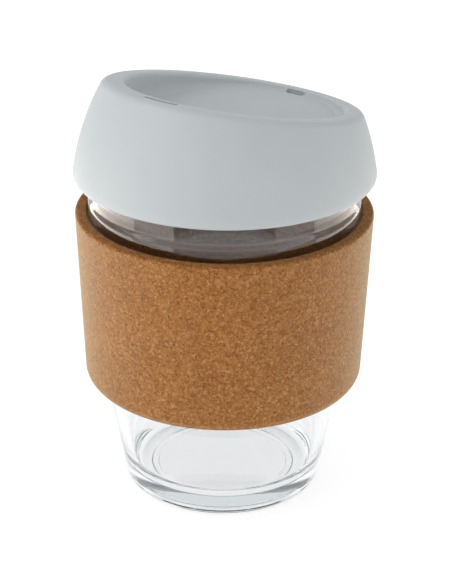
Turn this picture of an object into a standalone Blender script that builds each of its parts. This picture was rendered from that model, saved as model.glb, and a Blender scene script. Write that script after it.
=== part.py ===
"""Glass travel tumbler with a cork grip band and a slant-topped silicone lid.

Frame: +Z up. The origin is the centre of the foot, on the surface that the cup stands on.
The drinking side of the lid, where its rim is highest, faces -Y, and its vent side faces +Y.
Driving dimensions are in millimetres and become metres where a mesh is made.
"""

import math

import bmesh
import bpy

MM = 0.001

SEGMENTS = 64
MERGE_DISTANCE = 0.00001
SHARP_ANGLE = math.radians(35)
SOLVE_STEPS = 30

# Glass tumbler
FOOT_RADIUS = 27.9
FOOT_CORNER = 2.3
FOOT_RING_INNER = 22.8
PUNT_RADIUS = 22.2
PUNT_HEIGHT = 0.6
PUNT_STEP_RADIUS = 20.0
PUNT_STEP_HEIGHT = 0.8
GLASS_LOW_RADIUS = 30.1
GLASS_LOW_Z = 2.2
GLASS_TAPER = 0.178
KNEE_LOW_Z = 39.0
KNEE_HIGH_Z = 56.0
SEAT_LOW_RADIUS = 38.5
SEAT_TOP_RADIUS = 39.2
SEAT_TOP_Z = 86.0
STOP_BEAD_RADIUS = 40.25
STOP_BEAD_Z = 90.9
STOP_BEAD_RISE = 2.7
STOP_BEAD_FOOT_Z = 87.6
NECK_RADIUS = 39.8
RIM_TOP_Z = 105.5
RIM_INNER_RADIUS = 36.8
GLASS_WALL = 3.0
INNER_FLOOR_Z = 5.0
INNER_CORNER = 7.2

# Cork band
BAND_TOP_Z = 88.1
BAND_BOTTOM_Z = 34.9
BAND_TOP_RADIUS = 44.0
BAND_LOW_RADIUS = 41.9
BAND_LOW_CORNER = 3.2
BAND_TOP_CORNER = 0.9
BAND_BORE_TOP = 39.55
BAND_BORE_LOW = 38.4
BAND_MOUTH_RADIUS = 40.9
BAND_MOUTH_DEPTH = 1.8
BAND_BORE_CHAMFER = 0.5

# Silicone lid: its wall and lip
LIP_RADIUS = 44.35
LIP_Z = 100.3
LIP_CORNER = 1.2
WALL_LEAN = 0.14
WALL_CURVE = 0.0075
SKIRT_RADIUS = 40.15
SKIRT_CHAMFER = 0.4
GROOVE_TOP_Z = 105.9
PLUG_OUTER_RADIUS = 36.45
PLUG_INNER_RADIUS = 34.2
PLUG_BOTTOM_Z = 101.0
WEB_TOP_Z = 108.2

# Silicone lid: its slanted rim and the dish inside it
RIM_PLANE_Z = 122.75
RIM_SLOPE = math.tan(math.radians(12.3))
RIM_CORNER = 2.6
DISH_FLOOR_Z = 113.5
DISH_FLOOR_RADIUS = 30.45
DISH_OFFSET = 5.95
DISH_DRAFT = math.tan(math.radians(10))
DISH_EDGE_CORNER = 1.4
DISH_EDGE_SHARE = 0.35
DISH_LOW_CORNER = 6.0
DISH_LOW_SHARE = 0.6
LID_WALL = 2.7
LAND_THICKNESS = 2.8
DISH_WALL = 2.2
DISH_FLOOR_THICKNESS = 2.5
CHAMBER_STEP = 0.2
WALL_TANGENT_DEPTH = 4.0

# Openings through the lid
SIP_RADIUS = 30.4
SIP_HALF_ANGLE = math.radians(11)
SIP_WIDTH = 1.8
SIP_CUTTER_HEIGHT = 10.0
VENT_CENTRE_Y = 35.9
VENT_LENGTH = 6.4
VENT_WIDTH = 1.8
VENT_TOP_Z = 114.2
SLOT_END_STEPS = 6


def clear_scene():
    for old in list(bpy.data.objects):
        bpy.data.objects.remove(old, do_unlink=True)


def new_collection(name):
    collection = bpy.data.collections.new(name)
    bpy.context.scene.collection.children.link(collection)
    return collection


def new_material(name, color, roughness, transmission=0.0, ior=1.5):
    material = bpy.data.materials.new(name)
    material.use_nodes = True
    shader = material.node_tree.nodes["Principled BSDF"]
    shader.inputs["Base Color"].default_value = (*color, 1.0)
    shader.inputs["Roughness"].default_value = roughness
    shader.inputs["Metallic"].default_value = 0.0
    shader.inputs["Transmission Weight"].default_value = transmission
    shader.inputs["IOR"].default_value = ior
    material.diffuse_color = (*color, 1.0)
    return material


# ---------------------------------------------------------------- profile helpers


def arc(centre, radius, start_deg, end_deg, steps):
    """Points on an arc in the (radius, height) plane; 0 degrees points outward, 90 up."""
    points = []
    for i in range(steps + 1):
        angle = math.radians(start_deg + (end_deg - start_deg) * i / steps)
        points.append((centre[0] + radius * math.cos(angle), centre[1] + radius * math.sin(angle)))
    return points


def bezier(start, control, end, steps):
    points = []
    for i in range(steps + 1):
        t = i / steps
        a, b, c = (1 - t) ** 2, 2 * t * (1 - t), t * t
        points.append((
            a * start[0] + b * control[0] + c * end[0],
            a * start[1] + b * control[1] + c * end[1],
        ))
    return points


def fillet(before, corner, after, radius, steps):
    """Round the corner of the path before-corner-after with an arc of the given radius."""
    to_before = (before[0] - corner[0], before[1] - corner[1])
    to_after = (after[0] - corner[0], after[1] - corner[1])
    length_before = math.hypot(*to_before)
    length_after = math.hypot(*to_after)
    u = (to_before[0] / length_before, to_before[1] / length_before)
    v = (to_after[0] / length_after, to_after[1] / length_after)
    half = math.acos(max(-1.0, min(1.0, u[0] * v[0] + u[1] * v[1]))) / 2
    reach = radius / math.tan(half)
    first = (corner[0] + u[0] * reach, corner[1] + u[1] * reach)
    last = (corner[0] + v[0] * reach, corner[1] + v[1] * reach)
    bisector = (u[0] + v[0], u[1] + v[1])
    length = math.hypot(*bisector)
    distance = radius / math.sin(half)
    centre = (
        corner[0] + bisector[0] / length * distance,
        corner[1] + bisector[1] / length * distance,
    )
    start = math.atan2(first[1] - centre[1], first[0] - centre[0])
    sweep = math.atan2(last[1] - centre[1], last[0] - centre[0]) - start
    sweep = (sweep + math.pi) % (2 * math.pi) - math.pi
    return arc(centre, radius, math.degrees(start), math.degrees(start + sweep), steps)


def turned(name, profile, collection, closed=False):
    """Turn a profile of (radius, height) points in mm about the Z axis."""
    mesh = bpy.data.meshes.new(name)
    count = len(profile)
    edges = [(i, i + 1) for i in range(count - 1)]
    if closed:
        edges.append((count - 1, 0))
    mesh.from_pydata([(r * MM, 0.0, z * MM) for r, z in profile], edges, [])
    piece = bpy.data.objects.new(name, mesh)
    collection.objects.link(piece)
    screw = piece.modifiers.new("Turn", "SCREW")
    screw.axis = "Z"
    screw.steps = SEGMENTS
    screw.render_steps = SEGMENTS
    screw.use_merge_vertices = True
    screw.merge_threshold = MERGE_DISTANCE
    screw.use_smooth_shade = True
    return piece


# ---------------------------------------------------------------- glass tumbler


def glass_radius(z):
    """Outer radius of the tapered lower wall."""
    return GLASS_LOW_RADIUS + GLASS_TAPER * (z - GLASS_LOW_Z)


def glass_profile():
    knee_low = (glass_radius(KNEE_LOW_Z), KNEE_LOW_Z)
    knee_rise = (SEAT_LOW_RADIUS - knee_low[0]) / GLASS_TAPER
    knee_control = (SEAT_LOW_RADIUS, KNEE_LOW_Z + knee_rise)
    knee_high = (SEAT_LOW_RADIUS, KNEE_HIGH_Z)
    inner_low = glass_radius(INNER_FLOOR_Z) - GLASS_WALL
    inner_knee_low = (knee_low[0] - GLASS_WALL, KNEE_LOW_Z)
    inner_knee_control = (knee_control[0] - GLASS_WALL, knee_control[1])
    inner_knee_high = (knee_high[0] - GLASS_WALL, KNEE_HIGH_Z)

    points = [(0.0, INNER_FLOOR_Z)]
    floor_corner = (inner_low, INNER_FLOOR_Z)
    points += fillet(points[0], floor_corner, inner_knee_low, INNER_CORNER, 5)
    points += bezier(inner_knee_low, inner_knee_control, inner_knee_high, 4)

    # The rim is a full round between the inner and the outer wall.
    rim_radius = (NECK_RADIUS - RIM_INNER_RADIUS) / 2
    rim_centre = (RIM_INNER_RADIUS + rim_radius, RIM_TOP_Z - rim_radius)
    points += arc(rim_centre, rim_radius, 180, 0, 6)

    # A low bead stops the cork band from riding up.
    bead_rise = STOP_BEAD_RADIUS - NECK_RADIUS
    for i in range(5):
        t = i / 4
        lift = bead_rise * (1 - math.cos(math.pi * t)) / 2
        points.append((NECK_RADIUS + lift, STOP_BEAD_Z + STOP_BEAD_RISE * (1 - t)))
    points += bezier(
        (STOP_BEAD_RADIUS, STOP_BEAD_Z),
        (STOP_BEAD_RADIUS, STOP_BEAD_FOOT_Z),
        (SEAT_TOP_RADIUS, SEAT_TOP_Z),
        4,
    )[1:]
    points += bezier(knee_high, knee_control, knee_low, 4)
    foot_centre = (FOOT_RADIUS, FOOT_CORNER)
    wall_angle = -math.degrees(math.atan(GLASS_TAPER))
    points += arc(foot_centre, FOOT_CORNER, wall_angle, -90, 4)
    points.append((FOOT_RING_INNER, 0.0))
    points.append((PUNT_RADIUS, PUNT_HEIGHT))
    points.append((PUNT_STEP_RADIUS + PUNT_STEP_HEIGHT - PUNT_HEIGHT, PUNT_HEIGHT))
    points.append((PUNT_STEP_RADIUS, PUNT_STEP_HEIGHT))
    points.append((0.0, PUNT_STEP_HEIGHT))
    return points


def build_glass(collection):
    tumbler = turned("glass_tumbler", glass_profile(), collection)
    tumbler.data.materials.append(new_material("clear_glass", (0.86, 0.91, 0.92), 0.03, 0.9))
    return tumbler


# ---------------------------------------------------------------- cork band


def band_profile():
    corner_centre = (BAND_LOW_RADIUS - BAND_LOW_CORNER, BAND_BOTTOM_Z + BAND_LOW_CORNER)
    top_centre = (BAND_TOP_RADIUS - BAND_TOP_CORNER, BAND_TOP_Z - BAND_TOP_CORNER)
    points = arc(top_centre, BAND_TOP_CORNER, 90, 0, 2)
    points += arc(corner_centre, BAND_LOW_CORNER, 0, -75, 5)
    points.append((BAND_BORE_LOW + BAND_BORE_CHAMFER, BAND_BOTTOM_Z))
    points.append((BAND_BORE_LOW, BAND_BOTTOM_Z + BAND_BORE_CHAMFER))
    points.append((BAND_BORE_TOP, BAND_TOP_Z - BAND_MOUTH_DEPTH))
    points.append((BAND_MOUTH_RADIUS, BAND_TOP_Z))
    return points


def build_band(collection):
    band = turned("cork_band", band_profile(), collection, closed=True)
    band.data.materials.append(new_material("cork", (0.40, 0.19, 0.07), 0.85))
    return band


# ---------------------------------------------------------------- silicone lid


def lid_wall_radius(z):
    """Outer radius of the lid's wall, which leans in more the higher it gets."""
    u = z - LIP_Z
    return LIP_RADIUS - WALL_LEAN * u - WALL_CURVE * u * u


def rim_plane_z(radius, side):
    """Height of the slanted rim plane; side is the sine of the azimuth, 1 at the low side."""
    return RIM_PLANE_Z - RIM_SLOPE * radius * side


def dish_circle(radius, azimuth):
    """Distance from the cup's axis to a circle of the dish, whose centre is DISH_OFFSET off it."""
    across = DISH_OFFSET * math.cos(azimuth)
    return DISH_OFFSET * math.sin(azimuth) + math.sqrt(radius * radius - across * across)


def dish_wall_radius(z):
    return DISH_FLOOR_RADIUS + DISH_DRAFT * (z - DISH_FLOOR_Z)


def dish_wall_point(z, azimuth, grow=0.0):
    return (dish_circle(dish_wall_radius(z) + grow, azimuth), z)


def outer_corner(azimuth):
    """Where the wall would meet the slanted rim plane if the edge were sharp."""
    z = RIM_PLANE_Z
    for _ in range(SOLVE_STEPS):
        z = rim_plane_z(lid_wall_radius(z), math.sin(azimuth))
    return (lid_wall_radius(z), z)


def dish_corner(azimuth):
    """Where the dish's wall would meet the slanted rim plane."""
    z = RIM_PLANE_Z
    for _ in range(SOLVE_STEPS):
        z = rim_plane_z(dish_wall_point(z, azimuth)[0], math.sin(azimuth))
    return dish_wall_point(z, azimuth)


def dish_floor_corner(azimuth, corner_radius, steps):
    """The rounded corner between the dish's floor and its wall."""
    corner = (DISH_FLOOR_RADIUS, DISH_FLOOR_Z)
    above = (DISH_FLOOR_RADIUS + DISH_DRAFT, DISH_FLOOR_Z + 1.0)
    own = fillet((0.0, DISH_FLOOR_Z), corner, above, corner_radius, steps)
    return [(dish_circle(radius, azimuth), z) for radius, z in own]


def chamber_section(azimuth):
    """The hollow under the rim, from the web above the groove round to the dish's underside."""
    side = math.sin(azimuth)
    ceiling = DISH_FLOOR_Z - DISH_FLOOR_THICKNESS
    top = RIM_PLANE_Z
    for _ in range(SOLVE_STEPS):
        outer = lid_wall_radius(top) - LID_WALL
        top = max(rim_plane_z(outer, side) - LAND_THICKNESS, ceiling + CHAMBER_STEP)
    inner_top = dish_wall_point(top, azimuth, DISH_WALL)
    for _ in range(SOLVE_STEPS):
        height = max(rim_plane_z(inner_top[0], side) - LAND_THICKNESS, ceiling + CHAMBER_STEP)
        inner_top = dish_wall_point(height, azimuth, DISH_WALL)
    middle = (WEB_TOP_Z + top) / 2
    return [
        (lid_wall_radius(WEB_TOP_Z) - LID_WALL, WEB_TOP_Z),
        (lid_wall_radius(middle) - LID_WALL, middle),
        (outer, top),
        inner_top,
        (dish_circle(DISH_FLOOR_RADIUS + DISH_WALL, azimuth), ceiling),
        (0.0, ceiling),
    ]


def lid_section(azimuth):
    """Section of the lid at one azimuth: from the dish's centre out, down, in and up again."""
    steps = 3
    rim = outer_corner(azimuth)
    edge = dish_corner(azimuth)
    depth = edge[1] - DISH_FLOOR_Z
    low_corner = min(DISH_LOW_CORNER, DISH_LOW_SHARE * depth)
    edge_corner = min(DISH_EDGE_CORNER, DISH_EDGE_SHARE * depth)
    below = rim[1] - WALL_TANGENT_DEPTH
    wall_below = (lid_wall_radius(below), below)
    floor_corner = dish_floor_corner(azimuth, low_corner, steps)
    points = [(0.0, DISH_FLOOR_Z)]
    points += floor_corner
    points += fillet(floor_corner[-1], edge, rim, edge_corner, 2)
    rim_round = fillet(edge, rim, wall_below, RIM_CORNER, steps)
    points += rim_round
    wall_steps = 5
    for i in range(1, wall_steps + 1):
        z = rim_round[-1][1] + (LIP_Z - rim_round[-1][1]) * i / wall_steps
        points.append((lid_wall_radius(z), z))
    lip_bottom = LIP_Z - LIP_CORNER
    points += arc((LIP_RADIUS - LIP_CORNER, LIP_Z), LIP_CORNER, 0, -90, 2)[1:]
    points.append((SKIRT_RADIUS + SKIRT_CHAMFER, lip_bottom))
    points.append((SKIRT_RADIUS, lip_bottom + SKIRT_CHAMFER))
    points.append((SKIRT_RADIUS, GROOVE_TOP_Z))
    points.append((PLUG_OUTER_RADIUS, GROOVE_TOP_Z))
    points.append((PLUG_OUTER_RADIUS, PLUG_BOTTOM_Z))
    points.append((PLUG_INNER_RADIUS, PLUG_BOTTOM_Z))
    points.append((PLUG_INNER_RADIUS, WEB_TOP_Z))
    points += chamber_section(azimuth)
    return points


def loft_around_axis(name, section, collection):
    """Loft sections that change with the azimuth; their first and last points are on the axis."""
    mesh = bpy.data.meshes.new(name)
    bm = bmesh.new()
    first = section(0.0)
    top = bm.verts.new((0.0, 0.0, first[0][1] * MM))
    bottom = bm.verts.new((0.0, 0.0, first[-1][1] * MM))
    rings = []
    for i in range(SEGMENTS):
        azimuth = 2 * math.pi * i / SEGMENTS
        ring = []
        for radius, z in section(azimuth)[1:-1]:
            x = radius * math.cos(azimuth) * MM
            y = radius * math.sin(azimuth) * MM
            ring.append(bm.verts.new((x, y, z * MM)))
        rings.append(ring)
    for i, ring in enumerate(rings):
        after = rings[(i + 1) % SEGMENTS]
        bm.faces.new((top, ring[0], after[0]))
        for j in range(len(ring) - 1):
            bm.faces.new((ring[j], ring[j + 1], after[j + 1], after[j]))
        bm.faces.new((ring[-1], bottom, after[-1]))
    bm.to_mesh(mesh)
    bm.free()
    mesh.shade_smooth()
    mesh.set_sharp_from_angle(angle=SHARP_ANGLE)
    piece = bpy.data.objects.new(name, mesh)
    collection.objects.link(piece)
    return piece


def slot_outline(point_at, half_length, half_width):
    """Outline of a round-ended slot; point_at turns (along, across) into a place in mm."""
    outline = []
    for end, start_deg in ((1, -90), (-1, 90)):
        for i in range(SLOT_END_STEPS + 1):
            angle = math.radians(start_deg + 180 * i / SLOT_END_STEPS)
            along = end * half_length + half_width * math.cos(angle)
            outline.append(point_at(along, half_width * math.sin(angle)))
        if end == 1:
            outline.append(point_at(0.0, half_width))
    outline.append(point_at(0.0, -half_width))
    return outline


def prism_cutter(name, outline, low_z, high_z, collection):
    """Upright cutter with the given outline, made as a filled 2D curve and then a mesh."""
    curve = bpy.data.curves.new(name, "CURVE")
    curve.dimensions = "2D"
    curve.fill_mode = "BOTH"
    curve.extrude = (high_z - low_z) / 2 * MM
    spline = curve.splines.new("POLY")
    spline.points.add(len(outline) - 1)
    for point, (x, y) in zip(spline.points, outline):
        point.co = (x * MM, y * MM, 0.0, 1.0)
    spline.use_cyclic_u = True
    drawn = bpy.data.objects.new(name + "_outline", curve)
    drawn.location = (0.0, 0.0, (high_z + low_z) / 2 * MM)
    collection.objects.link(drawn)
    bpy.context.view_layer.update()

    evaluated = drawn.evaluated_get(bpy.context.evaluated_depsgraph_get())
    mesh = bpy.data.meshes.new_from_object(evaluated)
    bm = bmesh.new()
    bm.from_mesh(mesh)
    bmesh.ops.remove_doubles(bm, verts=bm.verts, dist=MERGE_DISTANCE)
    bmesh.ops.recalc_face_normals(bm, faces=bm.faces)
    bm.to_mesh(mesh)
    bm.free()
    cutter = bpy.data.objects.new(name, mesh)
    cutter.matrix_world = drawn.matrix_world
    bpy.data.objects.remove(drawn, do_unlink=True)
    collection.objects.link(cutter)
    cutter.hide_render = True
    cutter.display_type = "WIRE"
    return cutter


def cut(piece, cutter):
    boolean = piece.modifiers.new("Cut " + cutter.name, "BOOLEAN")
    boolean.operation = "DIFFERENCE"
    boolean.solver = "EXACT"
    boolean.object = cutter


def sip_point(along, across):
    angle = along / SIP_RADIUS - math.pi / 2
    radius = SIP_RADIUS + across
    return (radius * math.cos(angle), radius * math.sin(angle))


def vent_point(along, across):
    return (along, VENT_CENTRE_Y + across)


def build_lid(collection, cutters):
    lid = loft_around_axis("silicone_lid", lid_section, collection)
    lid.data.materials.append(new_material("grey_silicone", (0.50, 0.53, 0.54), 0.6))
    sip_half = SIP_RADIUS * SIP_HALF_ANGLE - SIP_WIDTH / 2
    sip = slot_outline(sip_point, sip_half, SIP_WIDTH / 2)
    sip_top = RIM_PLANE_Z + SIP_CUTTER_HEIGHT
    cut(lid, prism_cutter("sip_slot_cutter", sip, RIM_PLANE_Z, sip_top, cutters))
    vent_half = (VENT_LENGTH - VENT_WIDTH) / 2
    vent = slot_outline(vent_point, vent_half, VENT_WIDTH / 2)
    vent_low = (WEB_TOP_Z + DISH_FLOOR_Z - DISH_FLOOR_THICKNESS) / 2
    cut(lid, prism_cutter("vent_slot_cutter", vent, vent_low, VENT_TOP_Z, cutters))
    return lid


def main():
    clear_scene()
    parts = new_collection("travel_tumbler")
    cutters = new_collection("cutters")
    build_glass(parts)
    build_band(parts)
    build_lid(parts, cutters)


main()
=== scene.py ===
"""Looks of the glass travel tumbler: clear glass, a pressed-cork grip band and a grey silicone lid.

Frame: +Z up, origin at the centre of the foot; the lid's drinking side faces -Y and its vent side +Y.
Shapes are worked out in millimetres and become metres where a mesh is made.
"""

import math

import bpy
from mathutils import Matrix, Vector


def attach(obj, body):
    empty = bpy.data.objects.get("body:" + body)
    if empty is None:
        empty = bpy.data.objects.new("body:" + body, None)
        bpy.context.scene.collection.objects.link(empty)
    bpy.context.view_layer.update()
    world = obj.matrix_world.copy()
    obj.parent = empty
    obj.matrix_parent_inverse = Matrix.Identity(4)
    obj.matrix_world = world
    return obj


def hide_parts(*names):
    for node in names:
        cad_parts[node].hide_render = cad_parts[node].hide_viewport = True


MM = 0.001
SEGMENTS = 256
GLASS_SEGMENTS = 512
CORK_SEGMENTS = 640
SHARP_ANGLE = math.radians(40)
SOLVE_STEPS = 30

# Camera: it looks at a point on the cup's axis from the drinking side, turned towards +X.
VIEW_AZIMUTH = math.radians(36.0)
VIEW_ELEVATION = 0.440
VIEW_DISTANCE = 550.0
VIEW_HEIGHT = 60.3
VIEW_ASIDE = 0.65
VIEW_ROLL = 0.009
VIEW_LENS = 112.5
SENSOR_WIDTH = 36.0
CLIP_START = 10.0
CLIP_END = 30000.0

# The floor is a lit table: it glows, so that the cup stands on white and its base is lit from below.
FLOOR_HALF = 15000.0
FLOOR_DROP = 0.05
FLOOR_GLOW = 0.80
FLOOR_TONE = 0.35
FLOOR_ROUGHNESS = 0.6

# Cards on the floor round the cup, which only reflections show: two dark ones in front, and bright
# ones at the sides. Each has its nearest and farthest distance from the cup's axis, its first and
# last azimuth in degrees from the camera's side, and its glow.
CARDS = (
    (60.0, 420.0, -39.0, 14.0, 0.0),
    (60.0, 420.0, 14.0, 40.0, 0.3),
    (150.0, 420.0, -75.0, -39.0, 2.8),
    (150.0, 420.0, -140.0, -75.0, 5.0),
    (150.0, 420.0, 40.0, 75.0, 1.7),
    (150.0, 420.0, 75.0, 140.0, 3.5),
)
CARD_Z = 0.5
CARD_STEPS = 12
CARD_TONE = 0.01
CARD_ROUGHNESS = 0.9
CARD_COLOR = (1.0, 0.92, 0.86, 1.0)

# Area lights: azimuth from the camera's side and elevation in degrees, distance from their target,
# width and height in millimetres, and power in watts.
SOFTBOXES = {
    "key_left": (-75, 25, 900, 700, 900, 2.5),
    "fill_left": (-90, 5, 900, 700, 700, 0.3),
    "fill_front": (-40, 30, 1000, 500, 800, 0.35),
    "fill_right": (80, 25, 1100, 600, 900, 0.34),
    "rim_back": (180, 30, 1000, 900, 800, 0.2),
}
LIGHT_TARGET_Z = 65.0
WORLD_COLOR = (0.97, 0.99, 1.0, 1.0)
WORLD_STRENGTH = 0.69
WHITE = (1.0, 1.0, 1.0, 1.0)
STAGE_SPECULAR = 0.2

# Total internal reflection in the thick base takes many bounces, counted as glossy ones.
GLASS_BOUNCES = 32
CLEAR_BOUNCES = 16

# Glass: its tint, its absorption per metre and the slight waves of its surface
GLASS_TINT = (0.953, 0.960, 0.966, 1.0)
GLASS_IOR = 1.5
GLASS_ABSORPTION = (0.55, 0.80, 0.90, 1.0)
GLASS_DENSITY = 2.2
GLASS_WAVE_SIZE = 26.0
GLASS_WAVE_DEPTH = 0.02

# Cork: the sizes of its grain, its colours from dark to pale, and its sheen
CORK_WARP_SIZE = 0.5
CORK_WARP_REACH = 0.36
GRANULE_SIZE = 0.72
CRUMB_SIZE = 0.38
SPECK_SIZE = 0.45
MOTTLE_SIZE = 14.0
GRIT_SIZE = 0.3
CORK_DULL_SIZE = 0.8
CORK_SPECULAR = 0.3
CORK_BUMP_DEPTH = 0.06
CORK_PALETTE = (
    (0.00, (0.155, 0.040, 0.004)),
    (0.22, (0.280, 0.092, 0.012)),
    (0.55, (0.358, 0.131, 0.022)),
    (0.85, (0.440, 0.190, 0.048)),
    (1.00, (0.540, 0.284, 0.112)),
)
SPECK_COLOR = (0.135, 0.040, 0.007)
CORK_SHEEN = 0.7
CORK_CUT_SHEEN = 0.15
CORK_SHEEN_ROUGHNESS = 0.45
CORK_SHEEN_TINT = (1.0, 0.9, 0.62, 1.0)

# Silicone: two close greys, and a satin surface that lets a little light in
SILICONE_TONES = ((0.3, (0.505, 0.535, 0.545)), (0.7, (0.525, 0.552, 0.560)))
SILICONE_TONE_SIZE = 18.0
SILICONE_DULL_SIZE = 6.0
SILICONE_SPECULAR = 0.4
SATIN_SIZE = 0.16
SATIN_DEPTH = 0.006
SUBSURFACE_WEIGHT = 0.2
SUBSURFACE_DEPTH = 1.5

# Glass tumbler
FOOT_RADIUS = 27.9
FOOT_CORNER = 2.3
FOOT_RING_INNER = 22.8
PUNT_RADIUS = 22.2
PUNT_HEIGHT = 0.6
PUNT_STEP_RADIUS = 20.0
PUNT_STEP_HEIGHT = 0.8
GLASS_LOW_RADIUS = 30.1
GLASS_LOW_Z = 2.2
GLASS_TAPER = 0.178
KNEE_LOW_Z = 39.0
KNEE_HIGH_Z = 56.0
SEAT_LOW_RADIUS = 38.5
SEAT_TOP_RADIUS = 39.2
SEAT_TOP_Z = 86.0
STOP_BEAD_RADIUS = 40.25
STOP_BEAD_Z = 90.9
STOP_BEAD_RISE = 2.7
STOP_BEAD_FOOT_Z = 87.6
STOP_BEAD_LEAD = 0.3
STOP_BEAD_STEPS = 12
NECK_RADIUS = 39.8
RIM_TOP_Z = 105.5
RIM_INNER_RADIUS = 36.8
GLASS_WALL = 3.0
INNER_FLOOR_Z = 5.0
INNER_CORNER = 7.2

# Cork band
BAND_TOP_Z = 88.1
BAND_BOTTOM_Z = 34.9
BAND_TOP_RADIUS = 44.0
BAND_LOW_RADIUS = 41.9
BAND_LOW_CORNER = 3.2
BAND_TOP_CORNER = 0.9
BAND_BORE_TOP = 39.55
BAND_BORE_LOW = 38.4
BAND_MOUTH_RADIUS = 40.9
BAND_MOUTH_DEPTH = 1.8
BAND_BORE_CHAMFER = 0.5
BAND_END_NORMAL = 0.5

# Silicone lid: its wall and lip
LIP_RADIUS = 44.35
LIP_Z = 100.3
LIP_CORNER = 1.2
WALL_LEAN = 0.14
WALL_CURVE = 0.0075
SKIRT_RADIUS = 40.15
SKIRT_CHAMFER = 0.4
GROOVE_TOP_Z = 105.9
PLUG_OUTER_RADIUS = 36.45
PLUG_INNER_RADIUS = 34.2
PLUG_BOTTOM_Z = 101.0
PLUG_CORNER = 0.6
WEB_TOP_Z = 108.2

# Silicone lid: its slanted rim and the dish inside it
RIM_PLANE_Z = 122.75
RIM_SLOPE = math.tan(math.radians(12.3))
RIM_CORNER = 2.6
DISH_FLOOR_Z = 113.5
DISH_FLOOR_RADIUS = 30.45
DISH_OFFSET = 5.95
DISH_DRAFT = math.tan(math.radians(10))
DISH_EDGE_CORNER = 1.4
DISH_EDGE_SHARE = 0.35
DISH_LOW_CORNER = 6.0
DISH_LOW_SHARE = 0.6
LID_WALL = 2.7
LAND_THICKNESS = 2.8
DISH_WALL = 2.2
DISH_FLOOR_THICKNESS = 2.5
CHAMBER_STEP = 0.2
WALL_TANGENT_DEPTH = 4.0

# Openings through the lid
SIP_RADIUS = 30.4
SIP_HALF_ANGLE = math.radians(11)
SIP_WIDTH = 1.8
SIP_CUTTER_HEIGHT = 10.0
VENT_CENTRE_Y = 35.9
VENT_LENGTH = 6.4
VENT_WIDTH = 1.8
VENT_TOP_Z = 114.2
SLOT_END_STEPS = 16


# ---------------------------------------------------------------- profile helpers


def arc(centre, radius, start_deg, end_deg, steps):
    """Points on an arc in the (radius, height) plane; 0 degrees points outward, 90 up."""
    points = []
    for i in range(steps + 1):
        angle = math.radians(start_deg + (end_deg - start_deg) * i / steps)
        points.append((centre[0] + radius * math.cos(angle), centre[1] + radius * math.sin(angle)))
    return points


def bezier(start, control, end, steps):
    points = []
    for i in range(steps + 1):
        t = i / steps
        a, b, c = (1 - t) ** 2, 2 * t * (1 - t), t * t
        points.append((
            a * start[0] + b * control[0] + c * end[0],
            a * start[1] + b * control[1] + c * end[1],
        ))
    return points


def fillet(before, corner, after, radius, steps):
    """Round the corner of the path before-corner-after with an arc of the given radius."""
    to_before = Vector(before) - Vector(corner)
    to_after = Vector(after) - Vector(corner)
    u = to_before.normalized()
    v = to_after.normalized()
    half = math.acos(max(-1.0, min(1.0, u.dot(v)))) / 2
    reach = radius / math.tan(half)
    first = Vector(corner) + u * reach
    last = Vector(corner) + v * reach
    centre = Vector(corner) + (u + v).normalized() * radius / math.sin(half)
    start = math.atan2(first.y - centre.y, first.x - centre.x)
    sweep = math.atan2(last.y - centre.y, last.x - centre.x) - start
    sweep = (sweep + math.pi) % (2 * math.pi) - math.pi
    return arc(centre, radius, math.degrees(start), math.degrees(start + sweep), steps)


def straight(start, end, steps):
    """Evenly spaced points after start, up to and including end."""
    return [
        (start[0] + (end[0] - start[0]) * i / steps, start[1] + (end[1] - start[1]) * i / steps)
        for i in range(1, steps + 1)
    ]


# ---------------------------------------------------------------- mesh helpers


def link(name, mesh):
    piece = bpy.data.objects.new(name, mesh)
    bpy.context.scene.collection.objects.link(piece)
    return piece


def loft_around_axis(name, section, segments):
    """Loft sections that may change with the azimuth.

    A section whose first and last points are on the axis closes there. Any other section is the
    closed outline of a ring.
    """
    first = section(0.0)
    capped = first[0][0] == 0.0 and first[-1][0] == 0.0
    verts = []
    faces = []
    count = len(first) - 2 if capped else len(first)
    for i in range(segments):
        azimuth = 2 * math.pi * i / segments
        points = section(azimuth)
        for radius, z in points[1:-1] if capped else points:
            x = radius * math.cos(azimuth) * MM
            y = radius * math.sin(azimuth) * MM
            verts.append((x, y, z * MM))
    top = len(verts)
    bottom = top + 1
    if capped:
        verts.append((0.0, 0.0, first[0][1] * MM))
        verts.append((0.0, 0.0, first[-1][1] * MM))
    for i in range(segments):
        here = i * count
        after = (i + 1) % segments * count
        for j in range(count - 1 if capped else count):
            k = (j + 1) % count
            faces.append((here + j, here + k, after + k, after + j))
        if capped:
            faces.append((top, here, after))
            faces.append((here + count - 1, bottom, after + count - 1))
    mesh = bpy.data.meshes.new(name)
    mesh.from_pydata(verts, [], faces)
    mesh.validate()
    mesh.shade_smooth()
    return link(name, mesh)


def use(piece, material, body, node):
    """Finish a piece: its material, the CAD body it rides on and the CAD node it stands for."""
    piece.data.materials.clear()
    piece.data.materials.append(material)
    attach(piece, body)
    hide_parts(node)


# ---------------------------------------------------------------- glass tumbler


def glass_radius(z):
    """Outer radius of the tapered lower wall."""
    return GLASS_LOW_RADIUS + GLASS_TAPER * (z - GLASS_LOW_Z)


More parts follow.
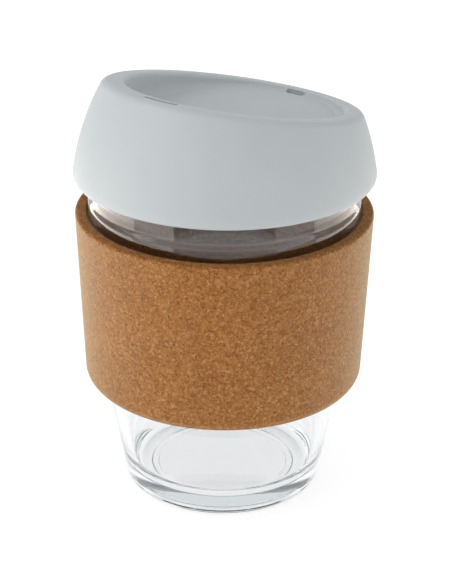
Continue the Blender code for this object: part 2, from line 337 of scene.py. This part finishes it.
def glass_section():
    """Half section of the glass: from the inner floor's centre up over the rim and down to the foot."""
    knee_low = (glass_radius(KNEE_LOW_Z), KNEE_LOW_Z)
    knee_rise = (SEAT_LOW_RADIUS - knee_low[0]) / GLASS_TAPER
    knee_control = (SEAT_LOW_RADIUS, KNEE_LOW_Z + knee_rise)
    knee_high = (SEAT_LOW_RADIUS, KNEE_HIGH_Z)
    inner_low = glass_radius(INNER_FLOOR_Z) - GLASS_WALL
    inner_knee_low = (knee_low[0] - GLASS_WALL, KNEE_LOW_Z)
    inner_knee_control = (knee_control[0] - GLASS_WALL, knee_control[1])
    inner_knee_high = (knee_high[0] - GLASS_WALL, KNEE_HIGH_Z)

    corner = fillet((0.0, INNER_FLOOR_Z), (inner_low, INNER_FLOOR_Z), inner_knee_low, INNER_CORNER, 16)
    points = [(0.0, INNER_FLOOR_Z)]
    points += straight(points[0], corner[0], 6)
    points += corner[1:]
    points += straight(points[-1], inner_knee_low, 6)
    points += bezier(inner_knee_low, inner_knee_control, inner_knee_high, 12)[1:]

    # The rim is a full round between the inner and the outer wall.
    rim_radius = (NECK_RADIUS - RIM_INNER_RADIUS) / 2
    rim_centre = (RIM_INNER_RADIUS + rim_radius, RIM_TOP_Z - rim_radius)
    points += straight(points[-1], (RIM_INNER_RADIUS, rim_centre[1]), 8)
    points += arc(rim_centre, rim_radius, 180, 0, 20)[1:]

    # A low bead stops the cork band from riding up.
    bead_rise = STOP_BEAD_RADIUS - NECK_RADIUS
    bead_top = STOP_BEAD_Z + STOP_BEAD_RISE
    points += straight(points[-1], (NECK_RADIUS, bead_top + STOP_BEAD_LEAD), 5)
    for i in range(STOP_BEAD_STEPS + 1):
        t = i / STOP_BEAD_STEPS
        lift = bead_rise * (1 - math.cos(math.pi * t)) / 2
        points.append((NECK_RADIUS + lift, STOP_BEAD_Z + STOP_BEAD_RISE * (1 - t)))
    points += bezier(
        points[-1],
        (STOP_BEAD_RADIUS, STOP_BEAD_FOOT_Z),
        (SEAT_TOP_RADIUS, SEAT_TOP_Z),
        12,
    )[1:]
    points += straight(points[-1], knee_high, 8)
    points += bezier(knee_high, knee_control, knee_low, 12)[1:]
    foot_centre = (FOOT_RADIUS, FOOT_CORNER)
    wall_angle = -math.degrees(math.atan(GLASS_TAPER))
    foot = arc(foot_centre, FOOT_CORNER, wall_angle, -90, 12)
    points += straight(points[-1], foot[0], 8)
    points += foot[1:]
    points += straight(points[-1], (FOOT_RING_INNER, 0.0), 2)
    points += straight(points[-1], (PUNT_RADIUS, PUNT_HEIGHT), 4)
    step_low = (PUNT_STEP_RADIUS + PUNT_STEP_HEIGHT - PUNT_HEIGHT, PUNT_HEIGHT)
    points += straight(points[-1], step_low, 2)
    points += straight(points[-1], (PUNT_STEP_RADIUS, PUNT_STEP_HEIGHT), 2)
    points += straight(points[-1], (0.0, PUNT_STEP_HEIGHT), 6)
    return points


def build_glass():
    section = glass_section()
    tumbler = loft_around_axis("tumbler_glass", lambda azimuth: section, GLASS_SEGMENTS)
    tumbler.data.set_sharp_from_angle(angle=SHARP_ANGLE)
    use(tumbler, glass_material(), "tumbler", "glass_tumbler")


# ---------------------------------------------------------------- cork band


def band_outline():
    """Closed outline of the band's section, down its outer side and up its bore."""
    low_centre = (BAND_LOW_RADIUS - BAND_LOW_CORNER, BAND_BOTTOM_Z + BAND_LOW_CORNER)
    top_centre = (BAND_TOP_RADIUS - BAND_TOP_CORNER, BAND_TOP_Z - BAND_TOP_CORNER)
    mouth_low = (BAND_BORE_TOP, BAND_TOP_Z - BAND_MOUTH_DEPTH)
    points = arc(top_centre, BAND_TOP_CORNER, 90, 0, 8)
    points += straight(points[-1], (BAND_LOW_RADIUS, low_centre[1]), 110)
    points += arc(low_centre, BAND_LOW_CORNER, 0, -75, 12)[1:]
    points += straight(points[-1], (BAND_BORE_LOW + BAND_BORE_CHAMFER, BAND_BOTTOM_Z), 2)
    points.append((BAND_BORE_LOW, BAND_BOTTOM_Z + BAND_BORE_CHAMFER))
    points += straight(points[-1], mouth_low, 24)
    points += straight(points[-1], (BAND_MOUTH_RADIUS, BAND_TOP_Z), 4)
    points += straight(points[-1], points[0], 6)[:-1]
    return points


def build_band():
    outline = band_outline()
    band = loft_around_axis("grip_cork", lambda azimuth: outline, CORK_SEGMENTS)
    band.data.set_sharp_from_angle(angle=SHARP_ANGLE)
    use(band, cork_material("grip_sanded_cork", CORK_SHEEN), "grip", "cork_band")

    # The outer side is sanded and has a sheen; the top face and the bore are duller cut cork.
    band.data.materials.append(cork_material("grip_cut_cork", CORK_CUT_SHEEN))
    middle_radius = (BAND_MOUTH_RADIUS + BAND_LOW_RADIUS) / 2 * MM
    for face in band.data.polygons:
        if face.normal.z > BAND_END_NORMAL or face.center.xy.length < middle_radius:
            face.material_index = 1


# ---------------------------------------------------------------- silicone lid


def lid_wall_radius(z):
    """Outer radius of the lid's wall, which leans in more the higher it gets."""
    u = z - LIP_Z
    return LIP_RADIUS - WALL_LEAN * u - WALL_CURVE * u * u


def rim_plane_z(radius, side):
    """Height of the slanted rim plane; side is the sine of the azimuth, 1 at the low side."""
    return RIM_PLANE_Z - RIM_SLOPE * radius * side


def dish_circle(radius, azimuth):
    """Distance from the cup's axis to a circle of the dish, whose centre is DISH_OFFSET off it."""
    across = DISH_OFFSET * math.cos(azimuth)
    return DISH_OFFSET * math.sin(azimuth) + math.sqrt(radius * radius - across * across)


def dish_wall_radius(z):
    return DISH_FLOOR_RADIUS + DISH_DRAFT * (z - DISH_FLOOR_Z)


def dish_wall_point(z, azimuth, grow=0.0):
    return (dish_circle(dish_wall_radius(z) + grow, azimuth), z)


def outer_corner(azimuth):
    """Where the wall would meet the slanted rim plane if the edge were sharp."""
    z = RIM_PLANE_Z
    for _ in range(SOLVE_STEPS):
        z = rim_plane_z(lid_wall_radius(z), math.sin(azimuth))
    return (lid_wall_radius(z), z)


def dish_corner(azimuth):
    """Where the dish's wall would meet the slanted rim plane."""
    z = RIM_PLANE_Z
    for _ in range(SOLVE_STEPS):
        z = rim_plane_z(dish_wall_point(z, azimuth)[0], math.sin(azimuth))
    return dish_wall_point(z, azimuth)


def dish_floor_corner(azimuth, corner_radius, steps):
    """The rounded corner between the dish's floor and its wall."""
    corner = (DISH_FLOOR_RADIUS, DISH_FLOOR_Z)
    above = (DISH_FLOOR_RADIUS + DISH_DRAFT, DISH_FLOOR_Z + 1.0)
    own = fillet((0.0, DISH_FLOOR_Z), corner, above, corner_radius, steps)
    return [(dish_circle(radius, azimuth), z) for radius, z in own]


def chamber_section(azimuth):
    """The hollow under the rim, from the web above the groove round to the dish's underside."""
    side = math.sin(azimuth)
    ceiling = DISH_FLOOR_Z - DISH_FLOOR_THICKNESS
    top = RIM_PLANE_Z
    for _ in range(SOLVE_STEPS):
        outer = lid_wall_radius(top) - LID_WALL
        top = max(rim_plane_z(outer, side) - LAND_THICKNESS, ceiling + CHAMBER_STEP)
    inner_top = dish_wall_point(top, azimuth, DISH_WALL)
    for _ in range(SOLVE_STEPS):
        height = max(rim_plane_z(inner_top[0], side) - LAND_THICKNESS, ceiling + CHAMBER_STEP)
        inner_top = dish_wall_point(height, azimuth, DISH_WALL)
    middle = (WEB_TOP_Z + top) / 2
    return [
        (lid_wall_radius(WEB_TOP_Z) - LID_WALL, WEB_TOP_Z),
        (lid_wall_radius(middle) - LID_WALL, middle),
        (outer, top),
        inner_top,
        (dish_circle(DISH_FLOOR_RADIUS + DISH_WALL, azimuth), ceiling),
        (0.0, ceiling),
    ]


def lid_section(azimuth):
    """Section of the lid at one azimuth: from the dish's centre out, down, in and up again."""
    rim = outer_corner(azimuth)
    edge = dish_corner(azimuth)
    depth = edge[1] - DISH_FLOOR_Z
    low_corner = min(DISH_LOW_CORNER, DISH_LOW_SHARE * depth)
    edge_corner = min(DISH_EDGE_CORNER, DISH_EDGE_SHARE * depth)
    below = rim[1] - WALL_TANGENT_DEPTH
    wall_below = (lid_wall_radius(below), below)
    floor_corner = dish_floor_corner(azimuth, low_corner, 16)
    points = [(0.0, DISH_FLOOR_Z)]
    points += straight(points[0], floor_corner[0], 5)
    points += floor_corner[1:]
    edge_round = fillet(floor_corner[-1], edge, rim, edge_corner, 8)
    points += straight(points[-1], edge_round[0], 4)
    points += edge_round[1:]
    rim_round = fillet(edge, rim, wall_below, RIM_CORNER, 12)
    points += straight(points[-1], rim_round[0], 4)
    points += rim_round[1:]
    wall_steps = 14
    for i in range(1, wall_steps + 1):
        z = rim_round[-1][1] + (LIP_Z - rim_round[-1][1]) * i / wall_steps
        points.append((lid_wall_radius(z), z))
    lip_bottom = LIP_Z - LIP_CORNER
    points += arc((LIP_RADIUS - LIP_CORNER, LIP_Z), LIP_CORNER, 0, -90, 10)[1:]
    points += straight(points[-1], (SKIRT_RADIUS + SKIRT_CHAMFER, lip_bottom), 3)
    points.append((SKIRT_RADIUS, lip_bottom + SKIRT_CHAMFER))
    points += straight(points[-1], (SKIRT_RADIUS, GROOVE_TOP_Z), 4)
    points += straight(points[-1], (PLUG_OUTER_RADIUS, GROOVE_TOP_Z), 2)
    outer_low = (PLUG_OUTER_RADIUS, PLUG_BOTTOM_Z)
    inner_low = (PLUG_INNER_RADIUS, PLUG_BOTTOM_Z)
    points += fillet(points[-1], outer_low, inner_low, PLUG_CORNER, 5)
    points += fillet(outer_low, inner_low, (PLUG_INNER_RADIUS, WEB_TOP_Z), PLUG_CORNER, 5)
    points.append((PLUG_INNER_RADIUS, WEB_TOP_Z))
    points += chamber_section(azimuth)
    return points


def slot_outline(point_at, half_length, half_width):
    """Outline of a round-ended slot; point_at turns (along, across) into a place in mm."""
    outline = []
    for end, start_deg in ((1, -90), (-1, 90)):
        for i in range(SLOT_END_STEPS + 1):
            angle = math.radians(start_deg + 180 * i / SLOT_END_STEPS)
            along = end * half_length + half_width * math.cos(angle)
            outline.append(point_at(along, half_width * math.sin(angle)))
        for i in range(1, SLOT_END_STEPS):
            along = end * half_length * (1 - 2 * i / SLOT_END_STEPS)
            outline.append(point_at(along, end * half_width))
    return outline


def cut_slot(piece, outline, low_z, high_z):
    """Cut an upright slot with the given outline through a piece."""
    # The cutter's faces point outwards only if its outline runs anticlockwise.
    count = len(outline)
    area = sum(
        outline[i - 1][0] * outline[i][1] - outline[i][0] * outline[i - 1][1] for i in range(count)
    )
    if area < 0.0:
        outline = outline[::-1]
    verts = [(x * MM, y * MM, low_z * MM) for x, y in outline]
    verts += [(x * MM, y * MM, high_z * MM) for x, y in outline]
    faces = [tuple(reversed(range(count))), tuple(range(count, 2 * count))]
    for i in range(count):
        j = (i + 1) % count
        faces.append((i, j, count + j, count + i))
    mesh = bpy.data.meshes.new("slot_cutter")
    mesh.from_pydata(verts, [], faces)
    cutter = link("slot_cutter", mesh)
    boolean = piece.modifiers.new("Cut", "BOOLEAN")
    boolean.operation = "DIFFERENCE"
    boolean.solver = "EXACT"
    boolean.object = cutter
    bpy.context.view_layer.update()
    evaluated = piece.evaluated_get(bpy.context.evaluated_depsgraph_get())
    finished = bpy.data.meshes.new_from_object(evaluated)
    piece.modifiers.clear()
    piece.data = finished
    bpy.data.objects.remove(cutter, do_unlink=True)


def sip_point(along, across):
    angle = along / SIP_RADIUS - math.pi / 2
    radius = SIP_RADIUS + across
    return (radius * math.cos(angle), radius * math.sin(angle))


def vent_point(along, across):
    return (along, VENT_CENTRE_Y + across)


def build_lid():
    lid = loft_around_axis("lid_silicone", lid_section, SEGMENTS)
    sip_half = SIP_RADIUS * SIP_HALF_ANGLE - SIP_WIDTH / 2
    sip_outline = slot_outline(sip_point, sip_half, SIP_WIDTH / 2)
    cut_slot(lid, sip_outline, RIM_PLANE_Z, RIM_PLANE_Z + SIP_CUTTER_HEIGHT)
    vent_half = (VENT_LENGTH - VENT_WIDTH) / 2
    vent_low = (WEB_TOP_Z + DISH_FLOOR_Z - DISH_FLOOR_THICKNESS) / 2
    vent_outline = slot_outline(vent_point, vent_half, VENT_WIDTH / 2)
    cut_slot(lid, vent_outline, vent_low, VENT_TOP_Z)
    lid.data.shade_smooth()
    lid.data.set_sharp_from_angle(angle=SHARP_ANGLE)
    use(lid, silicone_material(), "lid", "silicone_lid")


# ---------------------------------------------------------------- materials


class Nodes:
    """Small helper that adds nodes to one material and joins them."""

    def __init__(self, name):
        self.material = bpy.data.materials.new(name)
        self.material.use_nodes = True
        self.tree = self.material.node_tree
        self.shader = self.tree.nodes["Principled BSDF"]
        self.output = self.tree.nodes["Material Output"]
        self.place = self.add("ShaderNodeTexCoord").outputs["Object"]

    def add(self, kind, **values):
        node = self.tree.nodes.new(kind)
        for key, value in values.items():
            setattr(node, key, value)
        return node

    def join(self, start, end):
        self.tree.links.new(start, end)

    def noise(self, size, detail=2.0, roughness=0.5, place=None):
        """Noise whose largest features are about size millimetres across."""
        node = self.add("ShaderNodeTexNoise")
        node.inputs["Scale"].default_value = 1.0 / (size * MM)
        node.inputs["Detail"].default_value = detail
        node.inputs["Roughness"].default_value = roughness
        self.join(place or self.place, node.inputs["Vector"])
        return node.outputs["Fac"]

    def cells(self, size, place, feature="F1"):
        """Cells about size millimetres across."""
        node = self.add("ShaderNodeTexVoronoi", feature=feature)
        node.inputs["Scale"].default_value = 1.0 / (size * MM)
        self.join(place, node.inputs["Vector"])
        return node

    def channel(self, color, index):
        node = self.add("ShaderNodeSeparateColor")
        self.join(color, node.inputs[0])
        return node.outputs[index]

    def ramp(self, fac, stops):
        """Colour ramp; stops are (position, colour) pairs, and a colour may be one number."""
        node = self.add("ShaderNodeValToRGB")
        ramp = node.color_ramp
        while len(ramp.elements) < len(stops):
            ramp.elements.new(0.5)
        for element, (position, color) in zip(ramp.elements, stops):
            element.position = position
            color = (color,) * 3 if isinstance(color, float) else color
            element.color = (*color, 1.0)
        self.join(fac, node.inputs["Fac"])
        return node.outputs["Color"]

    def mix(self, fac, a, b, blend="MIX"):
        node = self.add("ShaderNodeMix", data_type="RGBA", blend_type=blend)
        for value, socket in ((fac, node.inputs[0]), (a, node.inputs[6]), (b, node.inputs[7])):
            if isinstance(value, bpy.types.NodeSocket):
                self.join(value, socket)
            elif isinstance(value, float):
                socket.default_value = value
            else:
                socket.default_value = (*value, 1.0)
        return node.outputs[2]

    def bump(self, height, depth, strength=1.0):
        """Bump whose height runs over depth millimetres as its input runs from 0 to 1."""
        node = self.add("ShaderNodeBump")
        node.inputs["Distance"].default_value = depth * MM
        node.inputs["Strength"].default_value = strength
        self.join(height, node.inputs["Height"])
        return node.outputs["Normal"]

    def set(self, **values):
        """Set or join inputs of the shader, named with underscores for spaces."""
        for key, value in values.items():
            socket = self.shader.inputs[key.replace("_", " ")]
            if isinstance(value, bpy.types.NodeSocket):
                self.join(value, socket)
            else:
                socket.default_value = value


def glass_material():
    n = Nodes("tumbler_clear_glass")
    n.set(
        Base_Color=GLASS_TINT,
        Transmission_Weight=1.0,
        IOR=GLASS_IOR,
        Roughness=0.0,
        Normal=n.bump(n.noise(GLASS_WAVE_SIZE, 1.0), GLASS_WAVE_DEPTH),
    )
    absorb = n.add("ShaderNodeVolumeAbsorption")
    absorb.inputs["Color"].default_value = GLASS_ABSORPTION
    absorb.inputs["Density"].default_value = GLASS_DENSITY
    n.join(absorb.outputs["Volume"], n.output.inputs["Volume"])
    return n.material


def cork_material(name, sheen):
    """Pressed cork: coarse and fine granules with bent outlines, dark specks and a faint mottle."""
    n = Nodes(name)
    shifted = n.add("ShaderNodeVectorMath", operation="MULTIPLY_ADD")
    warp = n.add("ShaderNodeTexNoise")
    warp.inputs["Scale"].default_value = 1.0 / (CORK_WARP_SIZE * MM)
    n.join(n.place, warp.inputs["Vector"])
    n.join(warp.outputs["Color"], shifted.inputs[0])
    shifted.inputs[1].default_value = (CORK_WARP_REACH * MM,) * 3
    n.join(n.place, shifted.inputs[2])
    warped = shifted.outputs[0]

    granule = n.cells(GRANULE_SIZE, warped)
    crumb = n.cells(CRUMB_SIZE, warped)
    coarse = n.ramp(n.channel(granule.outputs["Color"], 0), CORK_PALETTE)
    fine = n.ramp(n.channel(crumb.outputs["Color"], 1), CORK_PALETTE)
    color = n.mix(0.5, coarse, fine)
    speck = n.ramp(n.noise(SPECK_SIZE, 2.0, 0.6, warped), ((0.60, 0.0), (0.70, 1.0)))
    color = n.mix(speck, color, SPECK_COLOR)
    mottle = n.ramp(n.noise(MOTTLE_SIZE, 3.0), ((0.30, 0.95), (0.70, 1.04)))
    color = n.mix(1.0, color, mottle, "MULTIPLY")
    edges = n.cells(GRANULE_SIZE, warped, "DISTANCE_TO_EDGE")
    seam = n.ramp(edges.outputs["Distance"], ((0.0, 0.0), (0.12, 1.0)))
    grain = n.mix(0.35, seam, n.noise(GRIT_SIZE, 3.0, 0.65, warped))
    n.set(
        Base_Color=color,
        Roughness=n.ramp(n.noise(CORK_DULL_SIZE, 2.0), ((0.2, 0.74), (0.8, 0.92))),
        Normal=n.bump(grain, CORK_BUMP_DEPTH, 0.8),
    )
    n.shader.inputs["Specular IOR Level"].default_value = CORK_SPECULAR
    n.shader.inputs["Sheen Weight"].default_value = sheen
    n.shader.inputs["Sheen Roughness"].default_value = CORK_SHEEN_ROUGHNESS
    n.shader.inputs["Sheen Tint"].default_value = CORK_SHEEN_TINT
    return n.material


def silicone_material():
    n = Nodes("lid_grey_silicone")
    n.set(
        Base_Color=n.ramp(n.noise(SILICONE_TONE_SIZE, 3.0), SILICONE_TONES),
        Roughness=n.ramp(n.noise(SILICONE_DULL_SIZE, 3.0), ((0.3, 0.52), (0.7, 0.60))),
        Normal=n.bump(n.noise(SATIN_SIZE, 2.0, 0.6), SATIN_DEPTH),
        Subsurface_Weight=SUBSURFACE_WEIGHT,
    )
    n.shader.inputs["Subsurface Radius"].default_value = (1.0, 1.0, 1.0)
    n.shader.inputs["Subsurface Scale"].default_value = SUBSURFACE_DEPTH * MM
    n.shader.inputs["Specular IOR Level"].default_value = SILICONE_SPECULAR
    return n.material


# ---------------------------------------------------------------- studio


def lit_material(name, tone, roughness, glow_color, glow):
    """A grey that also glows by itself."""
    n = Nodes(name)
    n.set(
        Base_Color=(tone, tone, tone, 1.0),
        Roughness=roughness,
        Emission_Color=glow_color,
        Emission_Strength=glow,
    )
    n.shader.inputs["Specular IOR Level"].default_value = STAGE_SPECULAR
    return n.material


def build_floor():
    half = FLOOR_HALF * MM
    mesh = bpy.data.meshes.new("floor")
    z = -FLOOR_DROP * MM
    verts = [(-half, -half, z), (half, -half, z), (half, half, z), (-half, half, z)]
    mesh.from_pydata(verts, [], [(0, 1, 2, 3)])
    floor = link("floor", mesh)
    white = lit_material("floor_white", FLOOR_TONE, FLOOR_ROUGHNESS, WHITE, FLOOR_GLOW)
    floor.data.materials.append(white)


def build_card(name, near, far, first_deg, last_deg, glow):
    """Part of a ring on the floor round the cup, seen only in reflections."""
    verts = []
    faces = []
    for i in range(CARD_STEPS + 1):
        angle = VIEW_AZIMUTH + math.radians(first_deg + (last_deg - first_deg) * i / CARD_STEPS)
        for radius in (near, far):
            x = radius * math.sin(angle) * MM
            y = -radius * math.cos(angle) * MM
            verts.append((x, y, CARD_Z * MM))
    for i in range(CARD_STEPS):
        faces.append((2 * i, 2 * i + 1, 2 * i + 3, 2 * i + 2))
    mesh = bpy.data.meshes.new(name)
    mesh.from_pydata(verts, [], faces)
    card = link(name, mesh)
    card.data.materials.append(lit_material(name, CARD_TONE, CARD_ROUGHNESS, CARD_COLOR, glow))
    card.visible_camera = False
    card.visible_diffuse = False
    card.visible_shadow = False
    card.visible_transmission = False


def add_softbox(name, azimuth_deg, elevation_deg, distance, width, height, power):
    """Area light aimed at the cup's middle; positive azimuths are to the camera's right."""
    azimuth = VIEW_AZIMUTH + math.radians(azimuth_deg)
    elevation = math.radians(elevation_deg)
    target = Vector((0.0, 0.0, LIGHT_TARGET_Z)) * MM
    away = Vector((
        math.sin(azimuth) * math.cos(elevation),
        -math.cos(azimuth) * math.cos(elevation),
        math.sin(elevation),
    ))
    light = bpy.data.lights.new(name, "AREA")
    light.shape = "RECTANGLE"
    light.size = width * MM
    light.size_y = height * MM
    light.energy = power
    lamp = bpy.data.objects.new(name, light)
    lamp.location = target + away * distance * MM
    lamp.rotation_mode = "QUATERNION"
    lamp.rotation_quaternion = away.to_track_quat("Z", "Y")
    bpy.context.scene.collection.objects.link(lamp)


def build_world():
    """Even light from all round; the camera itself sees plain white beyond the floor's edge."""
    world = bpy.data.worlds.new("studio")
    world.use_nodes = True
    tree = world.node_tree
    light = tree.nodes["Background"]
    light.inputs["Color"].default_value = WORLD_COLOR
    light.inputs["Strength"].default_value = WORLD_STRENGTH
    backdrop = tree.nodes.new("ShaderNodeBackground")
    backdrop.inputs["Color"].default_value = WHITE
    path = tree.nodes.new("ShaderNodeLightPath")
    choice = tree.nodes.new("ShaderNodeMixShader")
    tree.links.new(path.outputs["Is Camera Ray"], choice.inputs[0])
    tree.links.new(light.outputs[0], choice.inputs[1])
    tree.links.new(backdrop.outputs[0], choice.inputs[2])
    tree.links.new(choice.outputs[0], tree.nodes["World Output"].inputs["Surface"])
    bpy.context.scene.world = world


def build_camera():
    data = bpy.data.cameras.new("camera")
    data.lens = VIEW_LENS
    data.sensor_width = SENSOR_WIDTH
    data.clip_start = CLIP_START * MM
    data.clip_end = CLIP_END * MM
    camera = bpy.data.objects.new("camera", data)
    bpy.context.scene.collection.objects.link(camera)
    right = Vector((math.cos(VIEW_AZIMUTH), math.sin(VIEW_AZIMUTH), 0.0))
    ahead = Vector((
        -math.sin(VIEW_AZIMUTH) * math.cos(VIEW_ELEVATION),
        math.cos(VIEW_AZIMUTH) * math.cos(VIEW_ELEVATION),
        -math.sin(VIEW_ELEVATION),
    ))
    up = right.cross(ahead)
    turned_right = right * math.cos(VIEW_ROLL) + up * math.sin(VIEW_ROLL)
    turned_up = up * math.cos(VIEW_ROLL) - right * math.sin(VIEW_ROLL)
    place = Vector((0.0, 0.0, VIEW_HEIGHT)) - ahead * VIEW_DISTANCE + right * VIEW_ASIDE
    rotation = Matrix((turned_right, turned_up, -ahead)).transposed().to_4x4()
    camera.matrix_world = Matrix.Translation(place * MM) @ rotation
    bpy.context.scene.camera = camera


def build_studio():
    build_floor()
    for i, card in enumerate(CARDS):
        build_card(f"card_{i}", *card)
    build_world()
    for name, softbox in SOFTBOXES.items():
        add_softbox(name, *softbox)
    scene = bpy.context.scene
    scene.view_settings.view_transform = "Standard"
    scene.view_settings.look = "None"
    scene.cycles.max_bounces = GLASS_BOUNCES
    scene.cycles.glossy_bounces = GLASS_BOUNCES
    scene.cycles.transmission_bounces = GLASS_BOUNCES
    scene.cycles.transparent_max_bounces = CLEAR_BOUNCES


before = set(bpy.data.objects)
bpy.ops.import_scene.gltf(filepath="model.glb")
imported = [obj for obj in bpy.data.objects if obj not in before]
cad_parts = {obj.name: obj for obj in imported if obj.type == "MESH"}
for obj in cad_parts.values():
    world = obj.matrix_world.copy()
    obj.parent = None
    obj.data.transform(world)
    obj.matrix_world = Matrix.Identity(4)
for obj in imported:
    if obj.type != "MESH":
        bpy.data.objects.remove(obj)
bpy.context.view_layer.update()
build_camera()
build_glass()
build_band()
build_lid()
build_studio()
